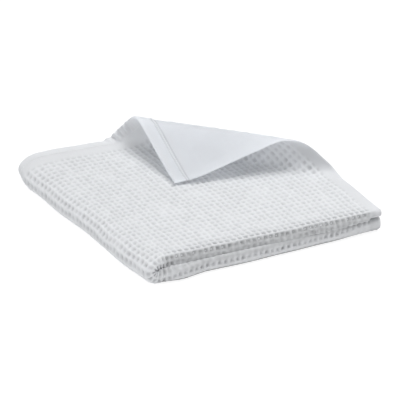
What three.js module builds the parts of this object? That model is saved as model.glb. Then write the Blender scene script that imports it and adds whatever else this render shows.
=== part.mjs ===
// A bath sheet of waffle-woven cotton, folded in thirds along its length and then in half across
// its width, lying flat with the top layer's far right corner loosely rolled back.
// The cloth is one sheet, so it is one solid: a back-and-forth section of three layers, carried
// round the fold at the left, six layers in all, a little apart.
// Millimetres. x to the right along the front lips, y to the back, z up, the floor at z = 0.
import * as THREE from "three";

// ---- driving sizes ----
const cell = 10.5; // one waffle cell across the width; plan sizes below are counted in cells
const thickness = 43.6; // the folded pack, six layers
const cloth = 4.8; // the lofty weave, ridge to ridge
const layers = 6;
const rightEdge = 29.6 * cell; // selvedges, upper half
const rightEdgeBelow = 29.85 * cell; // selvedges, lower half
const spineLeft = -12.8 * cell; // outside of the big fold at the left
const frontLip = -14.45 * cell; // outside of the front folds
const clothCorner = { x: 29.6 * cell, y: 29.7 * cell }; // the far right corner if it lay flat
const lowerHemSetIn = 12; // the bottom layer's hemmed end lies this much inside the top one's
const backFoldSetIn = 5; // the back folds lie this much inside the top layer's hem
const shoulder = 17; // how much longer than round the big fold's upper shoulder is
const shoulderBelow = 5; // and its lower one
const tuckDepth = 8.0 * cell; // the inner layers' far right corner is turned under this far in
const tuckRound = 50; // how softly that corner turns
const frameCentre = { x: 87.17, y: 82.316 }; // middle of the finished part, taken off every point

// The loosely rolled corner, as a section across the roll. Each row goes on from the row before:
// a turn of an arc (degrees, + lifts) at a radius, or a straight length. "rest" is what is left.
const rollAxis = 40.7; // degrees from +x of the direction towards the cloth's corner
const rollStart = 20.5 * cell; // where the lift starts, measured in from the corner
const rollTaper = -0.017 / (20 * cell); // the roll narrows towards its back left end
const rollRows = [
  { part: "lift", radius: 1.6 * cell, turn: 98, length: 0 },
  { part: "riser", radius: 0, turn: 0, length: 1.6 * cell },
  { part: "ridge", radius: 2.7 * cell, turn: 113, length: 0 },
  { part: "slope", radius: 0, turn: 0, length: "rest" },
  { part: "toe", radius: 5.0 * cell, turn: -22, length: 0 },
  { part: "tip", radius: 0, turn: 0, length: 1.6 * cell },
];

// Where the edges run, at places across the width: the hemmed back end (cells), and in mm how far
// the two front folds stand back from frontLip, and how far behind it the inner free ends lie.
const edgeRows = [
  { at: -12.8, hem: 30.8, upper: 0.0, lower: -6.0, innerEnd: 38, innerEndBelow: 38 },
  { at: -10.3, hem: 31.0, upper: 0.0, lower: -6.0, innerEnd: 38, innerEndBelow: 38 },
  { at: -6.0, hem: 31.2, upper: 0.0, lower: -11.0, innerEnd: 38, innerEndBelow: 46 },
  { at: -1.0, hem: 30.8, upper: 0.0, lower: -3.0, innerEnd: 38, innerEndBelow: 47 },
  { at: 5.0, hem: 30.4, upper: 0.8, lower: -4.0, innerEnd: 38, innerEndBelow: 47 },
  { at: 12.0, hem: 30.1, upper: 0.0, lower: -0.5, innerEnd: 38, innerEndBelow: 48 },
  { at: 20.0, hem: 29.9, upper: 0.5, lower: 2.5, innerEnd: 39, innerEndBelow: 50 },
  { at: 29.6, hem: 29.7, upper: 2.5, lower: 8.5, innerEnd: 40, innerEndBelow: 54 },
];

// How full the front folds are (mm): their height outside, upper and lower, and how deep from
// front to back their round part is. The soft cloth puffs up where it turns.
const fullRows = [
  { at: -12.8, upper: 20.0, lower: 20.0, upperDeep: 12.0, lowerDeep: 12.0 },
  { at: -10.3, upper: 20.0, lower: 20.0, upperDeep: 12.0, lowerDeep: 12.0 },
  { at: -6.0, upper: 20.0, lower: 22.6, upperDeep: 12.5, lowerDeep: 12.5 },
  { at: 12.0, upper: 19.2, lower: 23.4, upperDeep: 12.5, lowerDeep: 12.5 },
  { at: 20.0, upper: 18.4, lower: 24.2, upperDeep: 12.0, lowerDeep: 12.5 },
  { at: 29.6, upper: 15.6, lower: 26.6, upperDeep: 10.5, lowerDeep: 12.5 },
];
const fullBack = 36; // the fullness dies away this far behind the round part
const fullSquare = 3; // the folds press on each other: 2 would be an ellipse, more is squarer

// Soft hollows and swellings, as a share of the height there.
const reliefRows = [
  { x: 9, y: -4, radius: 11, rise: -0.03 },
  { x: 27, y: -13, radius: 9, rise: -0.025 },
  { x: -9, y: 26, radius: 7, rise: -0.03 },
  { x: -6, y: -10, radius: 8, rise: 0.015 },
  { x: 18, y: 6, radius: 8, rise: 0.01 },
];

// Where the outline draws in or out, in cells: from and full are places across the width,
// start and end are places from front to back between which the change grows to its amount.
const drawInRows = [
  { place: "front right end", from: 6, full: 29.6, start: -1, end: -15, amount: -0.8 },
  { place: "near end of the big fold", from: -3, full: -12.8, start: -6, end: -15, amount: 0.7 },
  { place: "middle of the big fold", from: -6, full: -12.8, start: 16, end: 4, amount: 0.8 },
  { place: "far part of the big fold", from: -6, full: -12.8, start: 20, end: 27, amount: -0.35 },
  { place: "far end of the big fold", from: -6, full: -12.8, start: 25, end: 31, amount: 0.95 },
];

// The soft stack leans out at the big fold: how far its foot lies outside its top, in cells.
const lean = { from: -7, full: -12.8, amount: -0.62 };

// Lines of the faceted surface, across the width and along the section.
const acrossRows = [
  { part: "rolled corner", to: 27.2 * cell, steps: 24 },
  { part: "rest of the upper half", to: "foldStart", steps: 3 },
  { part: "big fold", to: "foldEnd", steps: 10 },
  { part: "lower half, front fold filling out", to: "fullStart", steps: 2 },
  { part: "lower half", to: "tuckStart", steps: 3 },
  { part: "lower half, turned-under corner", to: "end", steps: 7 },
];
const sectionRows = [
  { part: "top run, rolled corner", to: 0.7, steps: 25 },
  { part: "top run, front", to: 1, steps: 3 },
  { part: "front fold", to: 2, steps: 8 },
  { part: "middle run, behind the front fold", to: 2.088, steps: 4 },
  { part: "middle run", to: 3, steps: 2 },
  { part: "back fold", to: 4, steps: 4 },
  { part: "inner run", to: 5, steps: 2 },
];

// ---- derived sizes ----
const middle = thickness / 2;
const pitch = (thickness - cloth) / (layers - 1);
const top = 2.5 * pitch; // height of each layer's middle, out from the middle of the pack
const second = 1.5 * pitch;
const inner = 0.5 * pitch;
const foldRadius = pitch / 2;
const shoulderX = spineLeft + middle + shoulder; // where the outer layer starts to turn down
const shoulderBelowX = spineLeft + middle + shoulderBelow;

const clamp = (v, a, b) => Math.min(b, Math.max(a, v));
const smooth = (v) => {
  const t = clamp(v, 0, 1);
  return t * t * (3 - 2 * t);
};
const softMin = (a, b, k) => {
  const h = clamp(0.5 + (0.5 * (b - a)) / k, 0, 1);
  return b * (1 - h) + a * h - k * h * (1 - h);
};
const squared = (v) => Math.sign(v) * Math.abs(v) ** (2 / fullSquare);
function alongRows(rows, key, at) {
  const u = clamp(at / cell, rows[0].at, rows[rows.length - 1].at - 1e-9);
  const i = rows.findIndex((r, k) => k > 0 && u <= r.at);
  const a = rows[i - 1];
  const b = rows[i];
  return a[key] + (b[key] - a[key]) * smooth((u - a.at) / (b.at - a.at));
}

// ---- the big fold at the left: x and z for a layer at height h, angle 0 up to pi ----
function bigFold(h, angle) {
  const share = (h - inner) / (top - inner);
  const upper = angle < Math.PI / 2;
  const radius = h + share * (upper ? shoulder : shoulderBelow);
  const start = upper ? shoulderX : shoulderBelowX;
  const reach = start - (spineLeft + middle - h);
  const c = clamp(1 - (reach / radius) * (1 - Math.sin(angle)), 0, 1);
  const z = h * Math.sqrt(1 - c * c);
  return [start - reach * Math.sin(angle), middle + (upper ? z : -z)];
}

// Arc length of the outer layer round the big fold, so that the weave isn't stretched there.
const foldTable = [{ length: 0, angle: 0 }];
for (let i = 1, last = bigFold(top, 0); i <= 360; i++) {
  const angle = (Math.PI * i) / 360;
  const p = bigFold(top, angle);
  foldTable.push({
    length:
      foldTable[i - 1].length + Math.hypot(p[0] - last[0], p[1] - last[1]),
    angle,
  });
  last = p;
}
const foldLength = foldTable[360].length;
const foldStart = rightEdge - shoulderX;
const foldEnd = foldStart + foldLength;
const end = foldEnd + (rightEdgeBelow - shoulderBelowX);
const fullStart = foldEnd + (-6 * cell - shoulderBelowX);
const tuckStart = end - 17 * cell;
function foldAngle(length) {
  if (length >= foldLength) return Math.PI;
  const i = Math.max(
    1,
    foldTable.findIndex((r) => r.length >= length),
  );
  const a = foldTable[i - 1];
  const b = foldTable[i];
  return (
    a.angle + ((b.angle - a.angle) * (length - a.length)) / (b.length - a.length)
  );
}

// ---- the back-and-forth section: y and layer height at station t, 0 hem to 5 inner end ----
function backFold(x) {
  const turnedUnder =
    clothCorner.y -
    (tuckDepth + (x - clothCorner.x) * Math.cos(rad(rollAxis))) /
      Math.sin(rad(rollAxis));
  return (
    softMin(
      alongRows(edgeRows, "hem", x) * cell - backFoldSetIn,
      turnedUnder,
      tuckRound,
    ) -
    foldRadius -
    cloth / 2
  );
}
function section(t, x, upperHalf) {
  const half = upperHalf ? "upper" : "lower";
  const lip = frontLip + alongRows(edgeRows, half, x);
  const frontDeep = alongRows(fullRows, half + "Deep", x) - cloth / 2;
  const frontRise = (alongRows(fullRows, half, x) - cloth) / 2;
  const front = lip + cloth / 2 + frontDeep;
  const hem =
    alongRows(edgeRows, "hem", x) * cell - (upperHalf ? 0 : lowerHemSetIn);
  const back = backFold(x);
  const slant = (backFold(x + 1) - backFold(x - 1)) / 2;
  const backBulge = foldRadius * Math.hypot(1, slant); // round across its own direction
  const innerEnd =
    frontLip + alongRows(edgeRows, upperHalf ? "innerEnd" : "innerEndBelow", x);
  if (t <= 1) return [hem + (front - hem) * t, top];
  if (t <= 2) {
    const a = Math.PI * (t - 1);
    return [
      front - frontDeep * squared(Math.sin(a)),
      top - frontRise + frontRise * squared(Math.cos(a)),
    ];
  }
  if (t <= 3) {
    const y = front + (back - front) * (t - 2);
    const puffed = top - 2 * frontRise;
    return [y, puffed + (second - puffed) * smooth((y - front) / fullBack)];
  }
  if (t <= 4) {
    const a = Math.PI * (t - 3);
    return [
      back + backBulge * Math.sin(a),
      (second + inner) / 2 + foldRadius * Math.cos(a),
    ];
  }
  return [back + (innerEnd - back) * (t - 4), inner];
}

function rad(degrees) {
  return (degrees * Math.PI) / 180;
}

// ---- the rolled corner ----
const arcLength = (r) => r.radius * Math.abs(rad(r.turn));
const rest =
  rollStart -
  rollRows.reduce(
    (sum, r) =>
      sum + arcLength(r) + (typeof r.length === "number" ? r.length : 0),
    0,
  );
function rollProfile(n) {
  if (n <= 0) return [n, 0];
  let x = 0;
  let z = 0;
  let heading = 0;
  let left = n;
  rollRows.forEach((row, i) => {
    if (left <= 0) return;
    const last = i === rollRows.length - 1;
    if (row.radius) {
      const used = Math.min(left, arcLength(row));
      const k = Math.sign(row.turn) / row.radius;
      const next = heading + used * k;
      x += (Math.sin(next) - Math.sin(heading)) / k;
      z -= (Math.cos(next) - Math.cos(heading)) / k;
      heading = next;
      left -= used;
    } else {
      const full = row.length === "rest" ? rest : row.length;
      const used = last ? left : Math.min(left, full);
      x += used * Math.cos(heading);
      z += used * Math.sin(heading);
      left -= used;
    }
  });
  return [x, z];
}
function roll(x, y, z) {
  const cos = Math.cos(rad(rollAxis));
  const sin = Math.sin(rad(rollAxis));
  const dx = x - clothCorner.x;
  const dy = y - clothCorner.y;
  const n = dx * cos + dy * sin;
  const a = -dx * sin + dy * cos;
  const scale = 1 + rollTaper * a;
  const [px, pz] = rollProfile((n + rollStart) / scale);
  const m = px * scale - rollStart;
  return [
    clothCorner.x - a * sin + m * cos,
    clothCorner.y + a * cos + m * sin,
    z + pz * scale,
  ];
}

// ---- middle of the cloth at width s and section station t ----
function middleOfCloth(s, t) {
  const upperHalf = s <= foldStart;
  const lowerHalf = s >= foldEnd;
  const angle = foldAngle(clamp(s - foldStart, 0, foldLength));
  const part = clamp((s - foldStart) / foldLength, 0, 1);
  const flatX = upperHalf
    ? rightEdge - s
    : lowerHalf
      ? shoulderBelowX + (s - foldEnd)
      : shoulderX + (shoulderBelowX - shoulderX) * part;
  const above = section(t, flatX, true);
  const below = section(t, flatX, false);
  const w = angle / Math.PI;
  const y = above[0] * (1 - w) + below[0] * w;
  const h = above[1] * (1 - w) + below[1] * w;
  if (upperHalf)
    return t <= 1 ? roll(flatX, y, middle + h) : [flatX, y, middle + h];
  if (lowerHalf) return [flatX, y, middle - h];
  const [x, z] = bigFold(h, angle);
  return [x, y, z];
}

// ---- unevenness of the whole pack; the floor stays flat ----
function settle([x, y, z]) {
  let rise = 0;
  for (const r of reliefRows) {
    const d = Math.hypot(x / cell - r.x, y / cell - r.y) / r.radius;
    rise += r.rise * Math.exp(-d * d);
  }
  let moved = x;
  for (const r of drawInRows)
    moved +=
      r.amount *
      cell *
      smooth((x / cell - r.from) / (r.full - r.from)) *
      smooth((y / cell - r.start) / (r.end - r.start));
  moved +=
    lean.amount *
    cell *
    (1 - Math.min(1, z / thickness)) *
    smooth((x / cell - lean.from) / (lean.full - lean.from));
  return [
    moved - frameCentre.x,
    y - frameCentre.y,
    z + rise * Math.min(z, thickness),
  ];
}

// ---- facets ----
function stations(rows, names) {
  const at = [0];
  for (const row of rows) {
    const from = at[at.length - 1];
    const to = typeof row.to === "number" ? row.to : names[row.to];
    for (let i = 1; i <= row.steps; i++)
      at.push(from + ((to - from) * i) / row.steps);
  }
  return at;
}
const across = stations(acrossRows, {
  foldStart,
  foldEnd,
  fullStart,
  tuckStart,
  end,
});
const along = stations(sectionRows, {});

const halfCloth = cloth / 2;
function facePoint(s, t, side) {
  const e = 0.02;
  const et = 0.0002;
  const s0 = Math.max(0, s - e);
  const s1 = Math.min(end, s + e);
  const t0 = Math.max(0, t - et);
  const t1 = Math.min(5, t + et);
  const p = middleOfCloth(s, t);
  const ds = new THREE.Vector3(...middleOfCloth(s1, t)).sub(
    new THREE.Vector3(...middleOfCloth(s0, t)),
  );
  const dt = new THREE.Vector3(...middleOfCloth(s, t1)).sub(
    new THREE.Vector3(...middleOfCloth(s, t0)),
  );
  const normal = ds.cross(dt).normalize().multiplyScalar(side * halfCloth);
  return settle([p[0] + normal.x, p[1] + normal.y, p[2] + normal.z]);
}

function clothGeometry() {
  const positions = [];
  const index = [];
  const rows = across.length;
  const cols = along.length;
  for (const side of [1, -1])
    for (const s of across)
      for (const t of along) positions.push(...facePoint(s, t, side));
  const id = (side, i, j) => (side * rows + i) * cols + j;
  const quad = (a, b, c, d) => index.push(a, b, d, b, c, d); // split from b to d
  for (let i = 0; i < rows - 1; i++)
    for (let j = 0; j < cols - 1; j++) {
      quad(id(0, i, j), id(0, i + 1, j), id(0, i + 1, j + 1), id(0, i, j + 1));
      quad(id(1, i + 1, j + 1), id(1, i + 1, j), id(1, i, j), id(1, i, j + 1));
    }
  for (let j = 0; j < cols - 1; j++) {
    quad(id(1, 0, j), id(0, 0, j), id(0, 0, j + 1), id(1, 0, j + 1));
    quad(
      id(0, rows - 1, j),
      id(1, rows - 1, j),
      id(1, rows - 1, j + 1),
      id(0, rows - 1, j + 1),
    );
  }
  for (let i = 0; i < rows - 1; i++) {
    quad(id(0, i, 0), id(1, i, 0), id(1, i + 1, 0), id(0, i + 1, 0));
    quad(
      id(1, i, cols - 1),
      id(0, i, cols - 1),
      id(0, i + 1, cols - 1),
      id(1, i + 1, cols - 1),
    );
  }
  const geometry = new THREE.BufferGeometry();
  geometry.setAttribute(
    "position",
    new THREE.Float32BufferAttribute(positions, 3),
  );
  geometry.setIndex(index);
  geometry.computeVertexNormals();
  return geometry;
}

const cotton = new THREE.MeshStandardMaterial({
  name: "white waffle cotton",
  color: 0xe4e6ea,
  roughness: 0.95,
  metalness: 0,
  side: THREE.DoubleSide,
});

const bathSheet = new THREE.Mesh(clothGeometry(), cotton);
bathSheet.name = "bath_sheet";

const part = new THREE.Group();
part.add(bathSheet);
export default part;
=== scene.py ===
"""A folded bath sheet of white waffle-woven cotton, with its top corner loosely rolled back.

The cloth is one closed sheet mesh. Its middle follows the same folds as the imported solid, and both
faces are modelled: the waffle face with its raised ribs and pockets, and the smoother reverse with
its turned and stitched hem. Working units below are millimetres, and the mesh is in metres.
"""
import bpy
import numpy as np
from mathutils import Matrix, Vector


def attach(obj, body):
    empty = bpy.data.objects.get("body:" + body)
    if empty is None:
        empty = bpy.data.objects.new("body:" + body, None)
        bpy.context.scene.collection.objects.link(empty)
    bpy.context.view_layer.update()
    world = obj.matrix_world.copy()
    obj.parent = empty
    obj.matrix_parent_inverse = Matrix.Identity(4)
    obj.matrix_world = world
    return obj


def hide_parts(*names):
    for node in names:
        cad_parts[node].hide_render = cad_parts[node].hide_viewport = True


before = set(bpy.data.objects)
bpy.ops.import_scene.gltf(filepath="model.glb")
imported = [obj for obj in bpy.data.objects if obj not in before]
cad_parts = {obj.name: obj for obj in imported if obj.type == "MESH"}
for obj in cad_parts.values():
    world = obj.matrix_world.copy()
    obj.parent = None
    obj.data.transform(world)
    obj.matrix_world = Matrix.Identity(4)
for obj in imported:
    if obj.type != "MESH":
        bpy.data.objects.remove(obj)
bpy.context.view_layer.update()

# ---------------------------------------------------------------------------------------------
# sizes of the folded sheet (mm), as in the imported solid
# ---------------------------------------------------------------------------------------------
CELL = 10.5            # one waffle cell across the width
CELL_LONG = 12.25      # and along the length
THICK = 43.6           # the folded pack
CLOTH = 4.8            # the lofty weave, ridge to ridge
LAYERS = 6
RIGHT = 29.6 * CELL
RIGHT_BELOW = 29.85 * CELL
SPINE = -12.8 * CELL
LIP = -14.45 * CELL
CORNER = (29.6 * CELL, 29.7 * CELL)
HEM_SET_IN = 12.0
BACK_SET_IN = 5.0
SHOULDER = 17.0
SHOULDER_BELOW = 5.0
TUCK = 8.0 * CELL
TUCK_ROUND = 50.0
CENTRE = (87.17, 82.316)

ROLL_AXIS = np.radians(40.7)
ROLL_START = 20.5 * CELL
ROLL_TAPER = -0.017 / (20 * CELL)
ROLL = [
    # part, radius, turn in degrees, length (None: what is left)
    ("lift", 1.6 * CELL, 98.0, 0.0),
    ("riser", 0.0, 0.0, 1.6 * CELL),
    ("ridge", 2.7 * CELL, 113.0, 0.0),
    ("slope", 0.0, 0.0, None),
    ("toe", 5.0 * CELL, -22.0, 0.0),
    ("tip", 0.0, 0.0, 1.6 * CELL),
]
EDGE_COLUMNS = ("at", "hem", "upper", "lower", "inner_upper", "inner_lower")
EDGE = np.array([
    (-12.8, 30.8, 0.0, -6.0, 38.0, 38.0),
    (-10.3, 31.0, 0.0, -6.0, 38.0, 38.0),
    (-6.0, 31.2, 0.0, -11.0, 38.0, 46.0),
    (-1.0, 30.8, 0.0, -3.0, 38.0, 47.0),
    (5.0, 30.4, 0.8, -4.0, 38.0, 47.0),
    (12.0, 30.1, 0.0, -0.5, 38.0, 48.0),
    (20.0, 29.9, 0.5, 2.5, 39.0, 50.0),
    (29.6, 29.7, 2.5, 8.5, 40.0, 54.0),
])
FULL_COLUMNS = ("at", "upper", "lower", "upper_deep", "lower_deep")
FULL = np.array([
    (-12.8, 20.0, 20.0, 12.0, 12.0),
    (-10.3, 20.0, 20.0, 12.0, 12.0),
    (-6.0, 20.0, 22.6, 12.5, 12.5),
    (12.0, 19.2, 23.4, 12.5, 12.5),
    (20.0, 18.4, 24.2, 12.0, 12.5),
    (29.6, 15.6, 26.6, 10.5, 12.5),
])
FULL_BACK = 36.0
FULL_SQUARE = 3.0
RELIEF = [
    # x, y, radius in cells, share of the height
    (9, -4, 11, -0.03),
    (27, -13, 9, -0.025),
    (-9, 26, 7, -0.03),
    (-6, -10, 8, 0.015),
    (18, 6, 8, 0.01),
]
DRAW_IN = [
    # from, full across; start, end along; amount, in cells
    (6, 29.6, -1, -15, -0.8),
    (-3, -12.8, -6, -15, 0.7),
    (-6, -12.8, 16, 4, 0.8),
    (-6, -12.8, 20, 27, -0.35),
    (-6, -12.8, 25, 31, 0.95),
]
LEAN = (-7, -12.8, -0.62)

# the weave and the sewing
SELVEDGE = 21.0        # plain band along each long side
PLAIN_END = 46.0       # plain woven band at each short end, hem included
HEM = 20.6             # width of the turned hem, out to its line of stitching
POCKET = 3.9           # depth of a waffle pocket on the face

MIDDLE = THICK / 2
PITCH = (THICK - CLOTH) / (LAYERS - 1)
H_TOP, H_MID, H_IN = 2.5 * PITCH, 1.5 * PITCH, 0.5 * PITCH
FOLD_R = PITCH / 2
FOLD_L = np.pi * FOLD_R
SHOULDER_X = SPINE + MIDDLE + SHOULDER
SHOULDER_BELOW_X = SPINE + MIDDLE + SHOULDER_BELOW
HEM_Y = 29.7 * CELL    # nominal place of the hemmed end, for the weave's rows


def smooth(v):
    t = np.clip(v, 0.0, 1.0)
    return t * t * (3 - 2 * t)


def soft_min(a, b, k):
    h = np.clip(0.5 + 0.5 * (b - a) / k, 0, 1)
    return b * (1 - h) + a * h - k * h * (1 - h)


def squared(v):
    return np.sign(v) * np.abs(v) ** (2 / FULL_SQUARE)


def along_rows(table, columns, name, x):
    col = columns.index(name)
    u = np.clip(np.asarray(x, float) / CELL, table[0, 0], table[-1, 0] - 1e-9)
    i = np.clip(np.searchsorted(table[:, 0], u, side="left"), 1, len(table) - 1)
    a, b = table[i - 1], table[i]
    share = smooth((u - a[..., 0]) / (b[..., 0] - a[..., 0]))
    return a[..., col] + (b[..., col] - a[..., col]) * share


def edge(name, x):
    return along_rows(EDGE, EDGE_COLUMNS, name, x)


def full(name, x):
    return along_rows(FULL, FULL_COLUMNS, name, x)


# ---------------------------------------------------------------------------------------------
# the folds: width s and section station t (0 hem, 1-2 front fold, 3-4 back fold, 5 inner end)
# ---------------------------------------------------------------------------------------------
def big_fold(h, angle):
    h = np.asarray(h, float)
    share = (h - H_IN) / (H_TOP - H_IN)
    upper = angle < np.pi / 2
    radius = h + share * np.where(upper, SHOULDER, SHOULDER_BELOW)
    start = np.where(upper, SHOULDER_X, SHOULDER_BELOW_X)
    reach = start - (SPINE + MIDDLE - h)
    c = np.clip(1 - reach / radius * (1 - np.sin(angle)), 0, 1)
    z = h * np.sqrt(1 - c * c)
    return start - reach * np.sin(angle), MIDDLE + np.where(upper, z, -z)


FOLD_ANGLES = np.linspace(0, np.pi, 361)
_fx, _fz = big_fold(np.full(361, H_TOP), FOLD_ANGLES)
FOLD_ARC = np.concatenate([[0], np.cumsum(np.hypot(np.diff(_fx), np.diff(_fz)))])
FOLD_LEN = FOLD_ARC[-1]
FOLD_START = RIGHT - SHOULDER_X
FOLD_END = FOLD_START + FOLD_LEN
END = FOLD_END + (RIGHT_BELOW - SHOULDER_BELOW_X)


def back_fold(x):
    turned = CORNER[1] - (TUCK + (x - CORNER[0]) * np.cos(ROLL_AXIS)) / np.sin(ROLL_AXIS)
    return soft_min(edge("hem", x) * CELL - BACK_SET_IN, turned, TUCK_ROUND) - FOLD_R - CLOTH / 2


def front_of(x, upper):
    half = "upper" if upper else "lower"
    return LIP + edge(half, x) + full(half + "_deep", x)


def hem_of(x, upper):
    return edge("hem", x) * CELL - (0 if upper else HEM_SET_IN)


def section(t, x, upper):
    half = "upper" if upper else "lower"
    front = front_of(x, upper)
    deep = full(half + "_deep", x) - CLOTH / 2
    rise = (full(half, x) - CLOTH) / 2
    hem = hem_of(x, upper)
    back = back_fold(x)
    slant = (back_fold(x + 1) - back_fold(x - 1)) / 2
    bulge = FOLD_R * np.hypot(1, slant)
    inner_end = LIP + edge("inner_" + half, x)
    a = np.pi * (t - 1)
    b = np.pi * (t - 3)
    run = front + (back - front) * (t - 2)
    puffed = H_TOP - 2 * rise
    where = [t <= 1, t <= 2, t <= 3, t <= 4]
    y = np.select(where, [
        hem + (front - hem) * t,
        front - deep * squared(np.sin(a)),
        run,
        back + bulge * np.sin(b),
    ], back + (inner_end - back) * (t - 4))
    h = np.select(where, [
        H_TOP + 0 * t,
        H_TOP - rise + rise * squared(np.cos(a)),
        puffed + (H_MID - puffed) * smooth((run - front) / FULL_BACK),
        (H_MID + H_IN) / 2 + FOLD_R * np.cos(b),
    ], H_IN + 0 * t)
    return y, h


ROLL_REST = ROLL_START - sum(r * abs(np.radians(d)) + (l or 0.0) for _, r, d, l in ROLL)


def roll_profile(n):
    n = np.asarray(n, float)
    x = np.minimum(n, 0.0)
    z = np.zeros_like(n)
    left = np.maximum(n, 0.0)
    heading = 0.0
    for i, (_, r, turn, length) in enumerate(ROLL):
        if r:
            full = r * abs(np.radians(turn))
            used = np.minimum(left, full)
            k = np.sign(turn) / r
            ahead = heading + used * k
            x = x + (np.sin(ahead) - np.sin(heading)) / k
            z = z - (np.cos(ahead) - np.cos(heading)) / k
            heading = heading + full * k
        else:
            full = ROLL_REST if length is None else length
            used = left if i == len(ROLL) - 1 else np.minimum(left, full)
            x = x + used * np.cos(heading)
            z = z + used * np.sin(heading)
        left = left - used
    return x, z


def roll_place(x, y):
    """Distance past the start of the lift, and place along the roll, of a point of the flat cloth."""
    c, s = np.cos(ROLL_AXIS), np.sin(ROLL_AXIS)
    dx, dy = x - CORNER[0], y - CORNER[1]
    return dx * c + dy * s + ROLL_START, -dx * s + dy * c


def roll(x, y, z):
    c, s = np.cos(ROLL_AXIS), np.sin(ROLL_AXIS)
    n, a = roll_place(x, y)
    g = 1 + ROLL_TAPER * a
    px, pz = roll_profile(n / g)
    m = px * g - ROLL_START
    return CORNER[0] - a * s + m * c, CORNER[1] + a * c + m * s, z + pz * g


def flat_place(s):
    part = np.clip((s - FOLD_START) / FOLD_LEN, 0, 1)
    return np.where(s <= FOLD_START, RIGHT - s, np.where(
        s >= FOLD_END, SHOULDER_BELOW_X + (s - FOLD_END),
        SHOULDER_X + (SHOULDER_BELOW_X - SHOULDER_X) * part))


def fold_angle(s):
    return np.interp(np.clip(s - FOLD_START, 0, FOLD_LEN), FOLD_ARC, FOLD_ANGLES)


def middle(s, t):
    s, t = np.broadcast_arrays(np.asarray(s, float), np.asarray(t, float))
    up, low = s <= FOLD_START, s >= FOLD_END
    angle = fold_angle(s)
    flat = flat_place(s)
    ya, ha = section(t, flat, True)
    yb, hb = section(t, flat, False)
    w = angle / np.pi
    y = ya * (1 - w) + yb * w
    h = ha * (1 - w) + hb * w
    bx, bz = big_fold(h, angle)
    x = np.where(up | low, flat, bx)
    z = np.where(up, MIDDLE + h, np.where(low, MIDDLE - h, bz))
    rx, ry, rz = roll(x, y, z)
    m = up & (t <= 1)
    return np.stack([np.where(m, rx, x), np.where(m, ry, y), np.where(m, rz, z)], -1)


def settle(p):
    x, y, z = p[..., 0], p[..., 1], p[..., 2]
    rise = 0.0
    for rx, ry, radius, share in RELIEF:
        rise = rise + share * np.exp(
            -((x / CELL - rx) ** 2 + (y / CELL - ry) ** 2) / radius ** 2)
    moved = x
    for at, full, start, stop, amount in DRAW_IN:
        moved = moved + amount * CELL * smooth((x / CELL - at) / (full - at)) * smooth(
            (y / CELL - start) / (stop - start))
    at, full, amount = LEAN
    moved = moved + amount * CELL * (1 - np.minimum(1, z / THICK)) * smooth(
        (x / CELL - at) / (full - at))
    return np.stack([moved - CENTRE[0], y - CENTRE[1], z + rise * np.minimum(z, THICK)], -1)


# ---------------------------------------------------------------------------------------------
# rows of the weave: length q in mm, the nominal y on the top run, going on round the folds
# ---------------------------------------------------------------------------------------------
Q_BACK = -617.0        # nominal row where the back fold starts
IN_LEN = 420.0         # length of the inner run
Q_IN = Q_BACK - FOLD_L
Q_END = Q_IN - IN_LEN


# the fold's round for several proportions: its length, and how far the turn has gone at each
# share of the way round
RATIOS = np.linspace(0.4, 1.3, 19)
SHARES = np.linspace(0, 1, 65)
ROUND_ANGLES = np.linspace(0, np.pi, 1441)
ROUND_LENGTHS, TURNS = np.zeros(len(RATIOS)), np.zeros((len(RATIOS), len(SHARES)))
for row, ratio in enumerate(RATIOS):
    arc = np.hypot(np.diff(squared(np.sin(ROUND_ANGLES))),
                   np.diff(ratio * squared(np.cos(ROUND_ANGLES))))
    arc = np.concatenate([[0], np.cumsum(arc)])
    ROUND_LENGTHS[row] = arc[-1]
    TURNS[row] = np.interp(SHARES, arc / arc[-1], ROUND_ANGLES / np.pi)


def half_round(deep, tall):
    """Length round a fold of this depth and half height."""
    return deep * np.interp(tall / deep, RATIOS, ROUND_LENGTHS)


def turned_by(share, ratio):
    i = np.clip((ratio - RATIOS[0]) / (RATIOS[1] - RATIOS[0]), 0, len(RATIOS) - 1.001)
    j = np.clip(share, 0, 1) * 64
    i0, j0 = np.floor(i).astype(int), np.minimum(np.floor(j).astype(int), 63)
    f, g = i - i0, j - j0
    low = TURNS[i0, j0] * (1 - g) + TURNS[i0, j0 + 1] * g
    high = TURNS[i0 + 1, j0] * (1 - g) + TURNS[i0 + 1, j0 + 1] * g
    return low * (1 - f) + high * f


def fold_rows(x, upper):
    """Rows where the front fold of a half starts and ends."""
    start = LIP + full("upper_deep", x)
    stop = start - half_round(full("upper_deep", x), full("upper", x) / 2)
    if not upper:
        stop = stop + 6.8 * smooth((x / CELL + 10.3) / 4.3)
        start = stop + half_round(full("lower_deep", x), full("lower", x) / 2)
    return start, stop


def station(s, q):
    """Section station t of weave row q at width s. The rows are straight across the flat runs."""
    s, q = np.broadcast_arrays(np.asarray(s, float), np.asarray(q, float))
    flat = flat_place(s)
    w = fold_angle(s) / np.pi
    t = np.zeros(s.shape)
    for upper, share in ((True, 1 - w), (False, w)):
        half = "upper" if upper else "lower"
        start, stop = fold_rows(flat, upper)
        front, hem = front_of(flat, upper), hem_of(flat, upper)
        near = smooth((-5 * CELL - q) / (-5 * CELL - start))
        far = smooth((q - 14 * CELL) / (HEM_Y - 14 * CELL))
        y = q + (front - start) * near + (hem - HEM_Y) * far
        ratio = full(half, flat) / 2 / full(half + "_deep", flat)
        turned = 1 + turned_by((start - q) / (start - stop), ratio)
        t = t + share * np.where(q > start, (y - hem) / (front - hem), np.where(
            q > stop, turned, 2 + (stop - q) / (stop - Q_BACK)))
    t = np.where(q < Q_BACK, 3 + (Q_BACK - q) / FOLD_L, t)
    t = np.where(q < Q_IN, 4 + (Q_IN - q) / IN_LEN, t)
    return np.clip(t, 0.0, 5.0)


# ---------------------------------------------------------------------------------------------
# unevenness, all seeded
# ---------------------------------------------------------------------------------------------
rng = np.random.default_rng(20)


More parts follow.
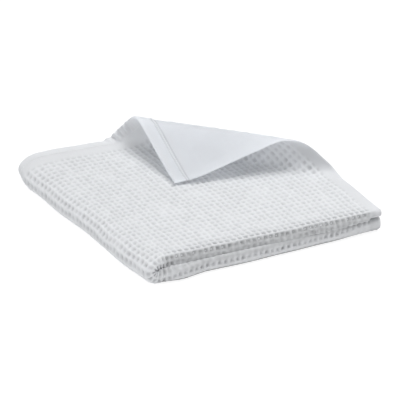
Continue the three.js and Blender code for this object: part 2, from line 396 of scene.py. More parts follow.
def wander(scale, amount, waves=14):
    """A smooth uneven function of two lengths, about +-amount, with swells about scale mm apart."""
    angle = rng.uniform(0, 2 * np.pi, waves)
    k = 2 * np.pi / (scale * rng.uniform(0.7, 1.6, waves))
    phase = rng.uniform(0, 2 * np.pi, waves)
    kx, ky = k * np.cos(angle), k * np.sin(angle)

    def at(a, b):
        total = 0.0
        for i in range(waves):
            total = total + np.sin(kx[i] * a + ky[i] * b + phase[i])
        return total * amount * (2.0 / waves) ** 0.5
    return at


row_wobble = wander(90, 0.75)
column_wobble = wander(75, 0.65)
thread_wobble = wander(16, 0.36)
pocket_swell = wander(60, 0.16)
face_swell = wander(120, 0.35)
hem_pucker = wander(17, 0.35)
edge_wave = wander(60, 0.5)
flap_wave = wander(85, 0.9)
patchy = wander(55, 0.5)
cell_depth = rng.normal(1.0, 0.17, (120, 160))
rib_height = rng.normal(0.0, 0.12, (120, 160))
mottle = wander(9, 0.2)


def weave(s, q):
    """Weave coordinates (cells across, cells along), whole at the ribs, with the wander of real cloth."""
    u = (RIGHT - s + column_wobble(s, q) + thread_wobble(s, q)) / CELL
    v = (q + row_wobble(s, q) + thread_wobble(q, s)) / CELL_LONG
    return u, v


def plain_share(s, q):
    """1 in the plain bands at the selvedges and short ends, 0 in the waffle."""
    side = np.minimum(s, END - s)
    end = np.minimum(HEM_Y - q, q - Q_END)
    waffle = smooth((side - SELVEDGE + 2) / 5.0) * smooth((end - PLAIN_END + 2) / 6.0)
    return 1 - waffle


def pocket(s, q):
    """Depth of the waffle at a place, about 0 on the ribs and 1 in the middle of a pocket."""
    u, v = weave(s, q)
    iu, iv = np.floor(u).astype(int), np.floor(v).astype(int)
    pu, pv = np.abs(2 * (u - iu) - 1), np.abs(2 * (v - iv) - 1)
    hole = smooth((0.80 - pu) / 0.50) * smooth((0.84 - pv) / 0.52)
    sag = 0.14 * (1 - pu ** 2)               # the ribs across lie a little lower
    depth = cell_depth[(iu + 60) % 120, (iv + 80) % 160]
    return sag + (hole - sag * hole) * np.clip(depth + pocket_swell(s, q), 0.5, 1.18)


def pressed(s, q):
    """1 where the lower front roll lies smooth: at its foot and above its row of pockets."""
    low = smooth((s - FOLD_END) / 30)
    foot = smooth((q + 12.35 * CELL_LONG) / 6)
    high = smooth((-12.95 * CELL_LONG - q) / 3) * smooth((q + 15 * CELL_LONG) / 6)
    return low * np.clip(0.08 + foot * 0.75 + high * 0.55, 0, 1)


def hem_distance(q):
    return np.minimum(HEM_Y - q, q - Q_END)


def filled(s, q):
    """How much the soft rolls swell into the crease between the upper and lower front folds."""
    t = station(s, q)
    corner = 2.9 * np.exp(-((t - 1.71) / 0.11) ** 2)
    inside = smooth((t - 1.70) / 0.1) * smooth((2.10 - t) / 0.08)
    spine = smooth((s - FOLD_START) / 10) * smooth((FOLD_END - s) / 10)
    low = smooth((s - FOLD_END + 8) / 12)
    y, _ = section(t, flat_place(s), False)
    step = np.exp(-((y - LIP - 3.0) / 5.0) ** 2) * smooth((t - 1.7) / 0.1) * (t < 2.5)
    return np.where(t > 1, corner + inside * (1.3 + 0.2 * spine) + 3.2 * low * step, 0.0)


# gathers where the hem is drawn in at the foot of the ridge: place across, slant, how far in
# from the hem, half width, depth
GATHERS = [
    (227.0, 0.05, 25.0, 3.4, 4.2),
    (238.0, 0.10, 16.0, 2.6, 1.8),
    (249.0, 0.12, 24.0, 3.2, 3.6),
    (267.0, -0.35, 28.0, 3.6, 3.4),
    (284.0, -0.30, 18.0, 4.0, 1.4),
]
# small creases near the hem at the tip: place across and in from the hem, half sizes, depth
TIP_CREASES = [
    (16.0, 31.0, 7.0, 2.2, 1.5),
    (27.0, 27.5, 4.0, 1.6, 1.2),
    (33.0, 12.0, 2.4, 5.0, 0.9),
    (9.0, 26.5, 3.0, 3.0, 1.2),
]


def dent(s, q):
    """Creases and soft waves that move both faces together, towards the waffle face."""
    end = HEM_Y - q
    n, _ = roll_place(flat_place(s), q)
    top = (s < FOLD_START) & (q > -60)
    total = flap_wave(s, q) * smooth((n - 70) / 50) * smooth((s + 5) / 25)
    for at, slant, reach, half, amount in GATHERS:
        across = (s - at - slant * end) / half
        total = total - amount * np.exp(-across ** 2) * smooth((reach - end) / 14)
        total = total + 0.5 * amount * np.exp(-((np.abs(across) - 2.1) / 0.9) ** 2) * smooth(
            (reach - end) / 14)
    for at, inward, wide, tall, amount in TIP_CREASES:
        total = total + amount * np.exp(-((s - at) / wide) ** 2 - ((end - inward) / tall) ** 2)
    return np.where(top, total, 0.0)


def foot(s, q):
    """How far the lower roll's foot is drawn in, rounder than the solid's."""
    t = station(s, q)
    return np.where(t > 1, 1.7 * np.exp(-((t - 1.24) / 0.12) ** 2), 0.0) * smooth(
        (s - FOLD_END + 10) / 20)


def painted_fold_shade(s, q):
    """Painted shade, darkening the cloth's colour: at the lower roll's foot and up its front to the
    crease between the rolls, and on the front face of the upper fold.
    """
    t = station(s, q)
    low = smooth((s - FOLD_END + 6) / 12)
    up = smooth((FOLD_START + 6 - s) / 12) * (0.35 + 0.65 * smooth((s - 6) / 26))
    face = 0.15 * smooth((t - 1.02) / 0.16) + 0.85 * smooth((t - 1.62) / 0.12)
    face = face * smooth((1.97 - t) / 0.07)
    under = np.exp(-(np.maximum(t - 1.17, 0) / 0.16) ** 2)
    uneven = np.clip(1 + mottle(s, q), 0.5, 1.5)
    return np.where(t > 1, low * (2.8 * under + face * uneven)
                    + up * 1.15 * uneven * smooth((t - 1.12) / 0.2) * smooth((1.78 - t) / 0.1), 0.0)


def deeper(s, q):
    """How much deeper the pockets are where the cloth is stretched round the upper front fold,
    and shallower where it is pressed in the crease."""
    row = q / CELL_LONG
    over = 0.4 * np.exp(-((row + 10.5) / 0.5) ** 2) + 0.75 * np.exp(-((row + 11.5) / 0.5) ** 2)
    over = over + 0.15 * np.exp(-((row + 12.55) / 0.5) ** 2)
    over = over - 0.72 * np.exp(-((row + 13.6) / 0.55) ** 2)
    return over * smooth((FOLD_START - s) / 30)


def offset(s, q, side):
    """Height of a face above the cloth's middle, along the normal. side 1 is the waffle face."""
    plain = plain_share(s, q)
    hole = pocket(s, q) * (1 - pressed(s, q))
    end = hem_distance(q)
    selv = np.minimum(s, END - s)
    if side > 0:
        n, _ = roll_place(flat_place(s), q)
        stretched = 0.4 * smooth((n - 10) / 30) * (s < FOLD_START) * (q > -60)
        woven = 2.4 - POCKET * (1 + deeper(s, q) - stretched) * hole + filled(s, q) - foot(s, q)
        flat = 1.45 + 0.05 * hem_pucker(s, q)
        flat = flat - 0.15 * np.exp(-((end - HEM) / 1.1) ** 2)
    else:
        relief = 1 + 1.5 * smooth(0.5 + patchy(s, q))
        woven = 1.95 + relief * (
            0.3 * hole ** 1.5 - 0.22 * np.exp(-((hole - 0.35) / 0.12) ** 2))
        woven = woven + POCKET * deeper(s, q) * hole
        flat = 1.35 + 0.0 * s
        turned = 1.3 * smooth((HEM + 3.0 - end) / 1.2)
        lip = 0.9 * np.exp(-((end - HEM - 1.9) / 0.9) ** 2)
        dip = 1.3 * np.exp(-((end - HEM) / 1.0) ** 2)
        groove = 0.9 * np.exp(-((end - HEM - 4.2) / 1.1) ** 2)
        flat = flat + turned + lip - dip - groove + 0.4 * hem_pucker(s, q) * smooth(
            (HEM + 3.0 - end) / 1.2)
    face = woven * (1 - plain) + flat * plain
    # the woven edges are rounded
    rim = np.minimum(selv, end)
    face = face * np.sqrt(np.clip(1 - (1 - np.clip(rim / 1.6, 0, 1)) ** 2, 0.05, 1))
    return face + side * dent(s, q)


def face_points(s, q, side):
    """Points of one face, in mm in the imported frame."""
    s = np.asarray(s, float)
    q = np.asarray(q, float)
    t = station(s, q)
    e, et = 0.02, 0.0002
    s0, s1 = np.maximum(0, s - e), np.minimum(END, s + e)
    t0, t1 = np.maximum(0, t - et), np.minimum(5, t + et)
    p = middle(s, t)
    n = np.cross(middle(s1, t) - middle(s0, t), middle(s, t1) - middle(s, t0))
    n /= np.linalg.norm(n, axis=-1, keepdims=True)
    off = side * offset(s, q, side)
    return settle(p + n * off[..., None])


# ---------------------------------------------------------------------------------------------
# the lattice of cells, with a number of steps for each cell that suits how well it shows
# ---------------------------------------------------------------------------------------------
columns = [0.0, 6.3] + [6.3 + CELL * i for i in range(1, 200) if 6.3 + CELL * i < END - 4] + [END]
columns = np.array(columns)
hem_steps = [0.0, 0.8, 2.2, 6.5, 13.0, 18.4, 19.6, 20.6, 21.6, 22.5, 23.4, 24.8, 26.6, 30.0, 37.0]
rows = [HEM_Y - d for d in hem_steps]
rows += [CELL_LONG * j for j in range(21, -16, -1)]
rows += list(np.linspace(-15 * CELL_LONG, -18 * CELL_LONG, 4)[1:])
rows += list(np.linspace(-18 * CELL_LONG, Q_BACK + 14, 9)[1:])
rows += [Q_BACK, Q_IN]
rows += list(np.linspace(Q_IN - 14, Q_END + 60, 8))
rows += [Q_END + d for d in hem_steps[::-1]]
rows = np.array(rows)
NC, NR = len(columns) - 1, len(rows) - 1


def steps_for():
    """Steps across and along for each cell and face."""
    sc = (columns[:-1] + columns[1:]) / 2
    qc = (rows[:-1] + rows[1:]) / 2
    s, q = np.meshgrid(sc, qc, indexing="ij")
    height = rows[:-1] - rows[1:]
    tall = np.broadcast_to(height, s.shape)
    t = station(s, q)
    flat = flat_place(s)
    up, low = s <= FOLD_START, s >= FOLD_END
    spine = ~up & ~low
    top = (t <= 1) & (q > -11 * CELL_LONG)
    y = q
    n, _ = roll_place(flat, y)
    rolled = up & top & (n > 2)
    sizes = {}
    for side in (1, -1):
        a = np.ones(s.shape, int)
        b = np.ones(s.shape, int)

        def put(m, ka, kb=None):
            kb = ka if kb is None else kb
            a[m] = np.broadcast_to(ka, s.shape)[m]
            b[m] = np.broadcast_to(kb, s.shape)[m]
        thin = tall < 9            # the narrow rows of the hem
        if side > 0:
            put(low & top, 1)
            put(up & top & ~rolled, 5)
            put(spine & top, 5)
            put(rolled, 5)
            put(rolled & (n > 85), 2)
            put(low & top & (q < -9 * CELL_LONG), 3)
            put(low & top & ((END - s < 24) | (HEM_Y - q < 50)), 2)
            put((q < -11 * CELL_LONG) & (q > -14 * CELL_LONG), 5, 8)
            put(low & (q < -11 * CELL_LONG) & (q > -12 * CELL_LONG), 3, 6)
            put((q < Q_BACK) & (q > Q_IN), 2, 5)
        else:
            put(rolled, 4)
            put(rolled & (n > 60), 4)
            put((q < -11 * CELL_LONG) & (q > -14 * CELL_LONG), 1, 4)
            # what the rolled corner uncovers
            open_top = up & (t > 2) & (t < 3)
            yy, _ = section(t, flat, True)
            nn, _ = roll_place(flat, yy)
            put(open_top & (nn > -6), 3, 12)
            put((q < Q_BACK) & (q > Q_IN), 3, 6)
            below = low & top
            yb, _ = section(t, flat, False)
            put(below & (yb > back_fold(flat) - 14), 3)
        put(spine & (t > 1) & (a < 3), 3, np.maximum(b, 1))
        put(spine & top & (a < 2), 2, np.maximum(b, 1))
        # the free ends at the front and the selvedges at the right show in part
        ends = (t > 4) & (q - Q_END < 50)
        put(ends & (a < 2), 2, 1)
        narrow = thin & (np.minimum(HEM_Y - q, q - Q_END) < 40)
        b[narrow] = 1
        b[(t > 4) & (q - Q_END < 40)] = 1
        sizes[side] = (a, b)
    return sizes


UNEVEN = np.array([0.0, 0.17, 0.39, 0.61, 0.83, 1.0])    # five steps, close on a pocket's sides


def divide(lo, hi, k):
    return lo + (hi - lo) * (UNEVEN if k == 5 else np.arange(k + 1) / k)


class Sheet:
    """Collects the vertices (s, q, face) and triangles or quads of the closed cloth."""

    def __init__(self):
        self.s, self.q, self.side, self.faces = [], [], [], []
        self.seen = {}

    def vertex(self, s, q, side):
        key = (round(s * 64), round(q * 64), side)
        if key not in self.seen:
            self.seen[key] = len(self.s)
            self.s.append(s)
            self.q.append(q)
            self.side.append(side)
        return self.seen[key]

    def add(self, side, *ids):
        ids = [v for i, v in enumerate(ids) if v != ids[i - 1]]
        if len(set(ids)) < 3:
            return
        self.faces.append(tuple(ids) if side > 0 else tuple(reversed(ids)))

    def cell(self, i, j, side, ka, kb, edges):
        """edges: steps on the low-s, high-s, low-row and high-row sides."""
        s0, s1, q0, q1 = columns[i], columns[i + 1], rows[j], rows[j + 1]
        el, eh, er, ek = edges
        if el == kb and eh == kb and er == ka and ek == ka:
            ss, qq = divide(s0, s1, ka), divide(q0, q1, kb)
            ids = [[self.vertex(a, b, side) for b in qq] for a in ss]
            for x in range(ka):
                for y in range(kb):
                    self.add(side, ids[x][y], ids[x + 1][y], ids[x + 1][y + 1], ids[x][y + 1])
            return
        near = [self.vertex(a, q0, side) for a in divide(s0, s1, er)]
        far = [self.vertex(a, q1, side) for a in divide(s0, s1, ek)]
        low = [self.vertex(s0, b, side) for b in divide(q0, q1, el)]
        high = [self.vertex(s1, b, side) for b in divide(q0, q1, eh)]
        if ka < 2 or kb < 2:
            c = self.vertex((s0 + s1) / 2, (q0 + q1) / 2, side)
            ring = near[:-1] + high[:-1] + far[::-1][:-1] + low[::-1][:-1]
            for a, b in zip(ring, ring[1:] + ring[:1]):
                self.add(side, a, b, c)
            return
        ss, qq = divide(s0, s1, ka)[1:-1], divide(q0, q1, kb)[1:-1]
        ids = [[self.vertex(a, b, side) for b in qq] for a in ss]
        for x in range(len(ss) - 1):
            for y in range(len(qq) - 1):
                self.add(side, ids[x][y], ids[x + 1][y], ids[x + 1][y + 1], ids[x][y + 1])
        self.strip(side, near, [r[0] for r in ids], False)
        self.strip(side, high, ids[-1], False)
        self.strip(side, far, [r[-1] for r in ids], True)
        self.strip(side, low, ids[0], True)

    def strip(self, side, outer, inner, turned):
        """Triangles between an edge's points and the facing points inside the cell."""
        i = j = 0
        n, m = len(outer) - 1, len(inner) - 1
        while i < n or j < m:
            ahead_o = (i + 1) / n if i < n else 9
            ahead_i = (j + 1) / m * 0.999 + 0.0005 if j < m else 9
            if m and ahead_o > ahead_i or i == n:
                tri = (outer[i], inner[j + 1], inner[j])
                j += 1
            else:
                tri = (outer[i], outer[i + 1], inner[j])
                i += 1
            self.add(-side if turned else side, *tri)


def build_sheet():
    sizes = steps_for()
    sheet = Sheet()
    rims = {}
    # both faces have the same steps on the cloth's own edges
    for side in (1, -1):
        a, b = sizes[side]
        oa, ob = sizes[-side]
        low = np.ones((NC + 1, NR), int)
        low[:-1] = np.maximum(low[:-1], b)
        low[1:] = np.maximum(low[1:], b)
        low[0] = np.maximum(low[0], ob[0])
        low[-1] = np.maximum(low[-1], ob[-1])
        row = np.ones((NC, NR + 1), int)
        row[:, :-1] = np.maximum(row[:, :-1], a)
        row[:, 1:] = np.maximum(row[:, 1:], a)
        row[:, 0] = np.maximum(row[:, 0], oa[:, 0])
        row[:, -1] = np.maximum(row[:, -1], oa[:, -1])
        for i in range(NC):
            for j in range(NR):
                sheet.cell(i, j, side, a[i, j], b[i, j],
                           (low[i, j], low[i + 1, j], row[i, j], row[i, j + 1]))
        rims[side] = (low, row)
    # the narrow rim that joins the two faces
    low, row = rims[1]
    rim = []
    for i in range(NC):
        rim += [(a, rows[0]) for a in divide(columns[i], columns[i + 1], row[i, 0])[:-1]]
    for j in range(NR):
        rim += [(columns[-1], b) for b in divide(rows[j], rows[j + 1], low[-1, j])[:-1]]
    for i in range(NC - 1, -1, -1):
        rim += [(a, rows[-1]) for a in divide(columns[i + 1], columns[i], row[i, -1])[:-1]]
    for j in range(NR - 1, -1, -1):
        rim += [(columns[0], b) for b in divide(rows[j + 1], rows[j], low[0, j])[:-1]]
    for (sa, qa), (sb, qb) in zip(rim, rim[1:] + rim[:1]):
        f0, f1 = sheet.vertex(sa, qa, 1), sheet.vertex(sb, qb, 1)
        r0, r1 = sheet.vertex(sa, qa, -1), sheet.vertex(sb, qb, -1)
        sheet.add(1, f0, r0, r1, f1)
    return sheet


sheet_data = build_sheet()
S = np.array(sheet_data.s)
Q = np.array(sheet_data.q)
SIDE = np.array(sheet_data.side)
points = np.zeros((len(S), 3))
for side in (1, -1):
    m = SIDE == side
    points[m] = face_points(S[m], Q[m], side)

mesh = bpy.data.meshes.new("waffle_sheet")
mesh.from_pydata((points / 1000).tolist(), [], sheet_data.faces)
mesh.validate()
mesh.update()
triangles = sum(len(f) - 2 for f in sheet_data.faces)
print("sheet", len(S), "vertices", triangles, "triangles")

# where each corner of a face lies on the flat cloth, in metres, for the thread pattern
cloth_map = mesh.uv_layers.new(name="cloth", do_init=False)
loop_vertex = np.zeros(len(mesh.loops), int)
mesh.loops.foreach_get("vertex_index", loop_vertex)
uv = np.stack([S, -Q], 1)[loop_vertex] / 1000
cloth_map.uv.foreach_set("vector", uv.astype(np.float32).ravel())
mesh.shade_smooth()
# painted shade: how much the cloth's colour is darkened at each vertex: in the pockets, more along the
# crest rows of the upper front fold, at the foot and front of the folds and in the crease between them;
# the plain bands are made a little darker too
painted_shade = mesh.attributes.new("painted_shade", "FLOAT", "POINT")
plain = plain_share(S, Q)
# painted shade in the pockets of the row along the upper fold's crest
painted_crest_shade = 1.0 * np.exp(-((Q / CELL_LONG + 11.3) / 0.6) ** 2) * smooth((FOLD_START - S) / 30)
deep = pocket(S, Q) * (1 - pressed(S, Q)) * (1 - plain) * (
    1 + deeper(S, Q) + painted_crest_shade) + painted_fold_shade(S, Q)
# the riser of the rolled corner: its pockets are pulled flat, and its right end is in shade
past = roll_place(flat_place(S), Q)[0]
riser = smooth((past - 10) / 30) * smooth((95 - past) / 30) * (S < FOLD_START) * (Q > -60)
deep = deep * (1 - 0.45 * riser) + riser * 0.5 * smooth((65 - S) / 50)
# the folded-in edge of the hem shades the needle's line and the groove beside it
seam = 1.1 * np.exp(-((hem_distance(Q) - HEM) / 1.0) ** 2)
seam = (seam + 0.8 * np.exp(-((hem_distance(Q) - HEM - 4.2) / 1.0) ** 2)) * plain
deep = np.where(SIDE > 0, deep + plain * np.where(
    hem_distance(Q) < PLAIN_END, 0.28, 0.42), 0.05 + seam)
painted_shade.data.foreach_set("value", deep.astype(np.float32))
# where the cloth is a single layer in the air
single = mesh.attributes.new("single", "FLOAT", "POINT")
lifted = smooth((roll_place(flat_place(S), Q)[0] - 42) / 40) * (S < FOLD_START) * (Q > -60)
single.data.foreach_set("value", lifted.astype(np.float32))

sheet = bpy.data.objects.new("waffle_sheet", mesh)
bpy.context.collection.objects.link(sheet)

# ---------------------------------------------------------------------------------------------
# stitches of the hems
# ---------------------------------------------------------------------------------------------
def build_stitches():
    verts, faces = [], []
    pitch, length, radius = 4.2, 3.3, 0.42
    for q_line, side in ((HEM_Y - HEM, 1), (HEM_Y - HEM, -1), (Q_END + HEM, 1), (Q_END + HEM, -1)):
        starts = np.arange(3.0, END - 6, pitch)
        count = len(starts)
        shifts = np.linspace(0, 1, 5)
        lift = np.sin(np.pi * shifts)
        s = starts[:, None] + length * shifts[None, :]
        q = np.full(s.shape, q_line) + 0.12 * rng.normal(size=(count, 1))
        base = face_points(s, q, side)
        dq = face_points(s, q + 0.3, side) - base
        ds = face_points(s + 0.3, q, side) - base
        wide = dq / np.linalg.norm(dq, axis=-1, keepdims=True)
        out = np.cross(ds, -dq) * side
        out /= np.linalg.norm(out, axis=-1, keepdims=True)
        spine = base + out * (0.1 + 0.75 * lift)[None, :, None]
        around = np.linspace(0, 2 * np.pi, 6, endpoint=False)
        for i in range(count):
            first = len(verts)
            for k in range(5):
                r = radius * (0.45 + 0.55 * lift[k])
                for w in around:
                    verts.append(spine[i, k] + r * (np.cos(w) * wide[i, k] + np.sin(w) * out[i, k]))
            for k in range(4):
                for w in range(6):
                    a = first + 6 * k + w
                    b = first + 6 * k + (w + 1) % 6
                    faces.append((a, b, b + 6, a + 6))
            faces.append(tuple(first + w for w in range(5, -1, -1)))
            faces.append(tuple(first + 24 + w for w in range(6)))
    me = bpy.data.meshes.new("hem_stitches")
    me.from_pydata([tuple(v / 1000) for v in verts], [], faces)
    me.validate()
    me.update()
    me.shade_smooth()
    ob = bpy.data.objects.new("hem_stitches", me)
    bpy.context.collection.objects.link(ob)
    return ob


stitches = build_stitches()

# ---------------------------------------------------------------------------------------------
# materials
# ---------------------------------------------------------------------------------------------
def new_material(name):
    mat = bpy.data.materials.new(name)
    mat.use_nodes = True
    nt = mat.node_tree
    nt.nodes.clear()
    out = nt.nodes.new("ShaderNodeOutputMaterial")
    bsdf = nt.nodes.new("ShaderNodeBsdfPrincipled")
    nt.links.new(bsdf.outputs["BSDF"], out.inputs["Surface"])
    return mat, nt, bsdf


def node(nt, kind, **values):
    n = nt.nodes.new(kind)
    for key, value in values.items():
        if key.startswith("in_"):
            n.inputs[key[3:].replace("_", " ")].default_value = value
        else:
            setattr(n, key, value)
    return n


THROUGH = 0.30         # share of the light that passes on into the cloth
THROUGH_SINGLE = 0.67  # and where it is a single layer, pulled thin
SINGLE_PAINTED_LIGHT = 1.09  # painted light: how much lighter the colour of a single lifted layer is made


def cotton_material():
    mat, nt, bsdf = new_material("waffle_cotton_cloth")
    out = next(n for n in nt.nodes if n.type == "OUTPUT_MATERIAL")
    link = nt.links.new
    place = node(nt, "ShaderNodeUVMap", uv_map="cloth")
    split = node(nt, "ShaderNodeSeparateXYZ")
    link(place.outputs["UV"], split.inputs[0])

    def threads(axis, pitch, phase):
        """Rounded yarns side by side: 0 between them, 1 on their backs."""
        scale = node(nt, "ShaderNodeMath", operation="MULTIPLY_ADD")
        scale.inputs[1].default_value = np.pi / pitch
        scale.inputs[2].default_value = phase
        link(split.outputs[axis], scale.inputs[0])
        sine = node(nt, "ShaderNodeMath", operation="SINE")
        link(scale.outputs[0], sine.inputs[0])
        size = node(nt, "ShaderNodeMath", operation="ABSOLUTE")
        link(sine.outputs[0], size.inputs[0])
        return size

    warp = threads("X", 0.00105, 0.3)
    weft = threads("Y", 0.00094, 0.9)
    yarns = node(nt, "ShaderNodeMath", operation="MAXIMUM")
    link(warp.outputs[0], yarns.inputs[0])
    link(weft.outputs[0], yarns.inputs[1])

    spots = node(nt, "ShaderNodeTexCoord")
    fuzz = node(nt, "ShaderNodeTexNoise", in_Scale=900.0, in_Detail=4.0, in_Roughness=0.6)
    link(spots.outputs["Object"], fuzz.inputs["Vector"])
    cloud = node(nt, "ShaderNodeTexNoise", in_Scale=38.0, in_Detail=3.0, in_Roughness=0.5)
    link(spots.outputs["Object"], cloud.inputs["Vector"])

    # a little variation of the white: slightly greyer between the yarns, softly mottled
    tone = node(nt, "ShaderNodeValToRGB")
    tone.color_ramp.elements[0].position = 0.0
    tone.color_ramp.elements[0].color = (0.82, 0.83, 0.85, 1)
    tone.color_ramp.elements[1].position = 1.0
    tone.color_ramp.elements[1].color = (0.90, 0.912, 0.93, 1)
    share = node(nt, "ShaderNodeMath", operation="MULTIPLY_ADD")
    share.inputs[1].default_value = 0.35
    share.inputs[2].default_value = 0.25
    link(yarns.outputs[0], share.inputs[0])
    more = node(nt, "ShaderNodeMath", operation="MULTIPLY_ADD")
    more.inputs[1].default_value = 0.6
    link(cloud.outputs["Fac"], more.inputs[0])
    link(share.outputs[0], more.inputs[2])
    link(more.outputs[0], tone.inputs["Fac"])
    # painted shade: the colour is darkened where the vertex attribute says, in the pockets, the crease
    # between the folds, at the foot and at the other shaded places
    depth = node(nt, "ShaderNodeAttribute", attribute_name="painted_shade")
    dim = node(nt, "ShaderNodeMapRange")
    dim.inputs["To Min"].default_value = 1.0
    dim.inputs["From Max"].default_value = 2.6
    dim.inputs["To Max"].default_value = 0.42
    link(depth.outputs["Fac"], dim.inputs["Value"])
    layer = node(nt, "ShaderNodeAttribute", attribute_name="single")
    # painted light: where the cloth is a single lifted layer its colour is made lighter
    lighter = node(nt, "ShaderNodeMapRange")
    lighter.inputs["To Min"].default_value = 1.0
    lighter.inputs["To Max"].default_value = SINGLE_PAINTED_LIGHT
    link(layer.outputs["Fac"], lighter.inputs["Value"])
    white = node(nt, "ShaderNodeMath", operation="MULTIPLY")
    link(dim.outputs["Result"], white.inputs[0])
    link(lighter.outputs["Result"], white.inputs[1])
    shade = node(nt, "ShaderNodeVectorMath", operation="SCALE")
    link(tone.outputs["Color"], shade.inputs[0])
    link(white.outputs[0], shade.inputs["Scale"])
    link(shade.outputs["Vector"], bsdf.inputs["Base Color"])

    rough = node(nt, "ShaderNodeMapRange")
    rough.inputs["To Min"].default_value = 0.82
    rough.inputs["To Max"].default_value = 0.97
    link(fuzz.outputs["Fac"], rough.inputs["Value"])
    link(rough.outputs["Result"], bsdf.inputs["Roughness"])

    height = node(nt, "ShaderNodeMath", operation="MULTIPLY_ADD")
    height.inputs[1].default_value = 0.7
    link(fuzz.outputs["Fac"], height.inputs[0])
    link(yarns.outputs[0], height.inputs[2])
    bump = node(nt, "ShaderNodeBump")
    bump.inputs["Strength"].default_value = 0.5
    bump.inputs["Distance"].default_value = 0.0004
    link(height.outputs[0], bump.inputs["Height"])
    link(bump.outputs["Normal"], bsdf.inputs["Normal"])

    bsdf.inputs["Specular IOR Level"].default_value = 0.25
    bsdf.inputs["Sheen Weight"].default_value = 0.12
    # a single layer of the cloth lets some light through
    through = node(nt, "ShaderNodeBsdfTranslucent")
    link(shade.outputs["Vector"], through.inputs["Color"])
    both = node(nt, "ShaderNodeMixShader")
    passed = node(nt, "ShaderNodeMapRange")
    passed.inputs["To Min"].default_value = THROUGH
    passed.inputs["To Max"].default_value = THROUGH_SINGLE
    link(layer.outputs["Fac"], passed.inputs["Value"])
    link(passed.outputs["Result"], both.inputs["Fac"])
    link(bsdf.outputs["BSDF"], both.inputs[1])
    link(through.outputs["BSDF"], both.inputs[2])
    link(both.outputs["Shader"], out.inputs["Surface"])
    bsdf.inputs["Sheen Roughness"].default_value = 0.5
    return mat


def stitch_material():
    mat, nt, bsdf = new_material("hem_thread")
    link = nt.links.new
    spots = node(nt, "ShaderNodeTexCoord")
    twist = node(nt, "ShaderNodeTexNoise", in_Scale=1600.0, in_Detail=2.0)
    link(spots.outputs["Object"], twist.inputs["Vector"])
    tone = node(nt, "ShaderNodeValToRGB")
    tone.color_ramp.elements[0].color = (0.84, 0.85, 0.87, 1)
    tone.color_ramp.elements[1].color = (0.92, 0.925, 0.935, 1)
    link(twist.outputs["Fac"], tone.inputs["Fac"])
    link(tone.outputs["Color"], bsdf.inputs["Base Color"])
    bump = node(nt, "ShaderNodeBump")
    bump.inputs["Strength"].default_value = 0.4
    bump.inputs["Distance"].default_value = 0.0002
    link(twist.outputs["Fac"], bump.inputs["Height"])
    link(bump.outputs["Normal"], bsdf.inputs["Normal"])
    bsdf.inputs["Roughness"].default_value = 0.6
    return mat


sheet.data.materials.append(cotton_material())
stitches.data.materials.append(stitch_material())

for piece in (sheet, stitches):
    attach(piece, "root")
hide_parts("bath_sheet")

# ---------------------------------------------------------------------------------------------
# floor, light and camera
# ---------------------------------------------------------------------------------------------
def foot_line():
    """The outline of the cloth where it lies on the floor, in mm."""
    share = np.linspace(0, 1, 25)[:-1]
    sides = [
        (FOLD_END + (END - FOLD_END) * share, 1.0 + 0 * share),
        (END + 0 * share, 1 - share),
        (END - (END - FOLD_END) * share, 0.0 * share),
        (FOLD_END + 0 * share, share),
    ]
    return np.concatenate([settle(middle(a, t))[:, :2] for a, t in sides])


base = foot_line()
away = base / np.linalg.norm(base, axis=1, keepdims=True)
# a ring from just inside to just outside the cloth's outline, across which the painted contact shadow on
# the floor fades out
rings = [base - 2.0 * away, base + 2.5 * away, 9000.0 * away]
around = len(base)
floor_points = [(float(x) / 1000, float(y) / 1000, -0.0006) for ring in rings for x, y in ring]
floor_faces = [tuple(range(around))]
for ring in range(2):
    for i in range(around):
        j = (i + 1) % around
        floor_faces.append((ring * around + i, (ring + 1) * around + i,
                            (ring + 1) * around + j, ring * around + j))
floor_mesh = bpy.data.meshes.new("floor")
floor_mesh.from_pydata(floor_points, [], floor_faces)
floor_mesh.validate()
outside_painted_shadow = floor_mesh.attributes.new("outside_painted_shadow", "FLOAT", "POINT")
outside_painted_shadow.data.foreach_set("value", np.repeat([0.0, 1.0, 1.0], around).astype(np.float32))
floor = bpy.data.objects.new("floor", floor_mesh)
bpy.context.collection.objects.link(floor)
mat, nt, bsdf = new_material("pale_floor")
grain = node(nt, "ShaderNodeTexNoise", in_Scale=3.0)
tone = node(nt, "ShaderNodeValToRGB")
tone.color_ramp.elements[0].color = (0.24, 0.24, 0.242, 1)
tone.color_ramp.elements[1].color = (0.26, 0.26, 0.262, 1)
nt.links.new(grain.outputs["Fac"], tone.inputs["Fac"])
nt.links.new(tone.outputs["Color"], bsdf.inputs["Base Color"])
bsdf.inputs["Roughness"].default_value = 1.0
bsdf.inputs["Specular IOR Level"].default_value = 0.0
bsdf.inputs["Emission Color"].default_value = (1, 1, 1, 1)
# the floor glows evenly like a table of frosted glass lit from below; the glow is off under the cloth and
# fades in across a thin ring at its outline, which paints a thin contact shadow at the foot
seen = node(nt, "ShaderNodeAttribute", attribute_name="outside_painted_shadow")
glow = node(nt, "ShaderNodeMath", operation="MULTIPLY")
glow.inputs[1].default_value = 0.86
nt.links.new(seen.outputs["Fac"], glow.inputs[0])
nt.links.new(glow.outputs[0], bsdf.inputs["Emission Strength"])
floor.data.materials.append(mat)

scene = bpy.context.scene
world = bpy.data.worlds.new("studio")
world.use_nodes = True
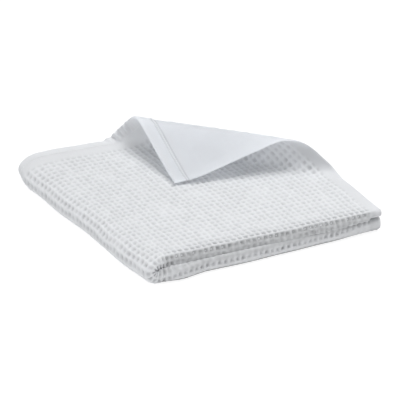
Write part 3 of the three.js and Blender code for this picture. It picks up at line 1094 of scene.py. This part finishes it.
# a white studio, darker towards the front right
sky = world.node_tree
sky_place = node(sky, "ShaderNodeTexCoord")
sky_side = node(sky, "ShaderNodeVectorMath", operation="DOT_PRODUCT")
sky_side.inputs[1].default_value = (-0.8, 0.6, 0.0)
sky.links.new(sky_place.outputs["Generated"], sky_side.inputs[0])
sky_range = node(sky, "ShaderNodeMapRange")
for key, value in (("From Min", -1.0), ("From Max", 1.0), ("To Min", 0.32), ("To Max", 0.76)):
    sky_range.inputs[key].default_value = value
sky.links.new(sky_side.outputs["Value"], sky_range.inputs["Value"])
sky.nodes["Background"].inputs["Color"].default_value = (1.0, 1.0, 1.0, 1)
sky.links.new(sky_range.outputs["Result"], sky.nodes["Background"].inputs["Strength"])
scene.world = world


def lamp(name, place, aim, size, power, colour=(1, 1, 1)):
    data = bpy.data.lights.new(name, "AREA")
    data.shape = "RECTANGLE"
    data.size, data.size_y = size
    data.energy = power
    data.color = colour
    ob = bpy.data.objects.new(name, data)
    bpy.context.collection.objects.link(ob)
    ob.location = place
    ob.rotation_euler = (Vector(aim) - Vector(place)).to_track_quat("-Z", "Y").to_euler()
    return ob


lamp("top", (0.4, -0.4, 2.35), (0, 0, 0), (1.6, 1.4), 45.5)
lamp("left", (-2.1, -1.7, 0.75), (0, 0, 0.05), (1.2, 0.7), 8)

camera_data = bpy.data.cameras.new("camera")
camera_data.lens = 206.1
camera_data.sensor_width = 36.0
camera_data.sensor_fit = "HORIZONTAL"
camera_data.clip_end = 50
camera = bpy.data.objects.new("camera", camera_data)
bpy.context.collection.objects.link(camera)
eye = Vector((-1497.0 - CENTRE[0], -2995.3 - CENTRE[1], 1525.2)) / 1000
aim = Vector((59.1 - CENTRE[0], 15.8 - CENTRE[1], 43.6)) / 1000
camera.location = eye
camera.rotation_euler = (aim - eye).to_track_quat("-Z", "Y").to_euler()
scene.camera = camera

scene.view_settings.view_transform = "Standard"
scene.view_settings.look = "None"
scene.view_settings.exposure = 0.0
scene.view_settings.gamma = 1.0
